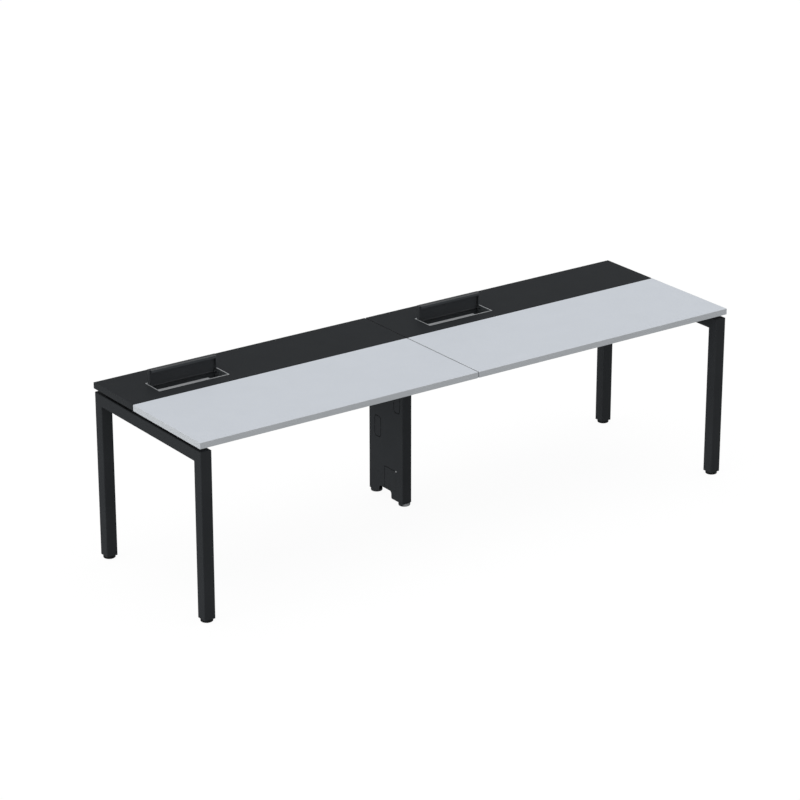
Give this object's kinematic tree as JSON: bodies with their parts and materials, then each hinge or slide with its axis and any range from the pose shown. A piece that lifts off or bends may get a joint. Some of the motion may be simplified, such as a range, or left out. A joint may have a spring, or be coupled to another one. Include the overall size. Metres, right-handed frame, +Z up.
{
  "type": "benching desk for two",
  "caption": "Straight two-seat bench desk with split worktops, square-tube portal end frames, a sheet-metal cable-riser middle leg, flip-up cable flaps and screw levelling feet.",
  "frame": {"origin": "on the floor, under the centre of the worktops", "axes": "+X along the desk to the sitter's right, +Y from the sitter to the rear edge, +Z up"},
  "size_m": [2.614, 0.793, 0.8111],
  "materials": {
    "grey_laminate": "pale grey melamine on chipboard, matt with a fine grain",
    "black_laminate": "black melamine on chipboard, matt with a fine grain",
    "grey_edge_band": "pale grey plastic edge band, satin",
    "black_edge_band": "black plastic edge band, satin",
    "black_coat": "black powder coat on steel, fine texture",
    "bare_aluminium": "satin anodised, natural",
    "dark_aluminium": "satin, coated black",
    "black_plastic": "moulded, matt black",
    "grey_plastic": "moulded, matt mid grey",
    "plated_steel": "zinc plated"
  },
  "bodies": {
    "desk": {"left_front_board": "grey_laminate", "right_front_board": "grey_laminate", "left_rear_board": "black_laminate", "right_rear_board": "black_laminate", "left_front_edge_band": "grey_edge_band", "right_front_edge_band": "grey_edge_band", "left_rear_edge_band": "black_edge_band", "right_rear_edge_band": "black_edge_band", "left_front_leg": "black_coat", "left_rear_leg": "black_coat", "left_cross_tube": "black_coat", "right_front_leg": "black_coat", "right_rear_leg": "black_coat", "right_cross_tube": "black_coat", "left_end_rail": "black_coat", "right_end_rail": "black_coat", "mid_rail": "black_coat", "mid_cross_tube": "black_coat", "mid_tube_front_cap": "black_plastic", "mid_tube_rear_cap": "black_plastic", "left_front_beam": "black_coat", "left_rear_beam": "black_coat", "right_front_beam": "black_coat", "right_rear_beam": "black_coat", "left_front_beam_spacer": "black_plastic", "left_rear_beam_spacer": "black_plastic", "right_front_beam_spacer": "black_plastic", "right_rear_beam_spacer": "black_plastic", "left_front_leg_insert": "black_plastic", "left_rear_leg_insert": "black_plastic", "right_front_leg_insert": "black_plastic", "right_rear_leg_insert": "black_plastic", "riser_case": "black_coat", "riser_cover": "black_coat", "riser_hatch": "black_coat", "riser_front_foot_bracket": "black_coat", "riser_rear_foot_bracket": "black_coat", "left_cable_tray": "black_coat", "right_cable_tray": "black_coat", "left_flap_bezel": "bare_aluminium", "right_flap_bezel": "bare_aluminium", "left_flap_left_pin": "plated_steel", "left_flap_right_pin": "plated_steel", "right_flap_left_pin": "plated_steel", "right_flap_right_pin": "plated_steel"},
    "left_lid": {"left_flap_lid": "dark_aluminium"},
    "right_lid": {"right_flap_lid": "dark_aluminium"},
    "left_front_stud": {"left_front_foot_stud": "plated_steel"},
    "left_front_pad": {"left_front_foot_pad": "black_plastic"},
    "left_rear_stud": {"left_rear_foot_stud": "plated_steel"},
    "left_rear_pad": {"left_rear_foot_pad": "black_plastic"},
    "right_front_stud": {"right_front_foot_stud": "plated_steel"},
    "right_front_pad": {"right_front_foot_pad": "black_plastic"},
    "right_rear_stud": {"right_rear_foot_stud": "plated_steel"},
    "right_rear_pad": {"right_rear_foot_pad": "black_plastic"},
    "riser_front_stud": {"riser_front_foot_stud": "plated_steel"},
    "riser_front_pad": {"riser_front_foot_pad": "grey_plastic"},
    "riser_rear_stud": {"riser_rear_foot_stud": "plated_steel"},
    "riser_rear_pad": {"riser_rear_foot_pad": "grey_plastic"}
  },
  "joints": [
    {"name": "left_lid_hinge", "type": "hinge", "parent": "desk", "child": "left_lid", "pos_m": [-0.985, 0.2477, 0.7412], "axis": [1, 0, 0], "range_deg": [0, 90]},
    {"name": "right_lid_hinge", "type": "hinge", "parent": "desk", "child": "right_lid", "pos_m": [0.324, 0.2477, 0.7412], "axis": [1, 0, 0], "range_deg": [0, 90]},
    {"name": "left_front_foot_travel", "type": "slide", "parent": "desk", "child": "left_front_stud", "axis": [0, 0, -1], "range_m": [0, 0.015]},
    {"name": "left_front_foot_turn", "type": "hinge", "parent": "left_front_stud", "child": "left_front_pad", "pos_m": [-1.279, -0.3685, 0], "axis": [0, 0, -1], "range_deg": [0, 3600]},
    {"name": "left_rear_foot_travel", "type": "slide", "parent": "desk", "child": "left_rear_stud", "axis": [0, 0, -1], "range_m": [0, 0.015]},
    {"name": "left_rear_foot_turn", "type": "hinge", "parent": "left_rear_stud", "child": "left_rear_pad", "pos_m": [-1.279, 0.3685, 0], "axis": [0, 0, -1], "range_deg": [0, 3600]},
    {"name": "right_front_foot_travel", "type": "slide", "parent": "desk", "child": "right_front_stud", "axis": [0, 0, -1], "range_m": [0, 0.015]},
    {"name": "right_front_foot_turn", "type": "hinge", "parent": "right_front_stud", "child": "right_front_pad", "pos_m": [1.279, -0.3685, 0], "axis": [0, 0, -1], "range_deg": [0, 3600]},
    {"name": "right_rear_foot_travel", "type": "slide", "parent": "desk", "child": "right_rear_stud", "axis": [0, 0, -1], "range_m": [0, 0.015]},
    {"name": "right_rear_foot_turn", "type": "hinge", "parent": "right_rear_stud", "child": "right_rear_pad", "pos_m": [1.279, 0.3685, 0], "axis": [0, 0, -1], "range_deg": [0, 3600]},
    {"name": "riser_front_foot_travel", "type": "slide", "parent": "desk", "child": "riser_front_stud", "axis": [0, 0, -1], "range_m": [0, 0.015]},
    {"name": "riser_front_foot_turn", "type": "hinge", "parent": "riser_front_stud", "child": "riser_front_pad", "pos_m": [0, 0.113, 0], "axis": [0, 0, -1], "range_deg": [0, 3600]},
    {"name": "riser_rear_foot_travel", "type": "slide", "parent": "desk", "child": "riser_rear_stud", "axis": [0, 0, -1], "range_m": [0, 0.015]},
    {"name": "riser_rear_foot_turn", "type": "hinge", "parent": "riser_rear_stud", "child": "riser_rear_pad", "pos_m": [0, 0.3145, 0], "axis": [0, 0, -1], "range_deg": [0, 3600]}
  ],
  "couplings": [
    {"joint": "left_front_foot_travel", "follows": "left_front_foot_turn", "m_per_rad": 0.00023873},
    {"joint": "left_rear_foot_travel", "follows": "left_rear_foot_turn", "m_per_rad": 0.00023873},
    {"joint": "right_front_foot_travel", "follows": "right_front_foot_turn", "m_per_rad": 0.00023873},
    {"joint": "right_rear_foot_travel", "follows": "right_rear_foot_turn", "m_per_rad": 0.00023873},
    {"joint": "riser_front_foot_travel", "follows": "riser_front_foot_turn", "m_per_rad": 0.00023873},
    {"joint": "riser_rear_foot_travel", "follows": "riser_rear_foot_turn", "m_per_rad": 0.00023873}
  ]
}
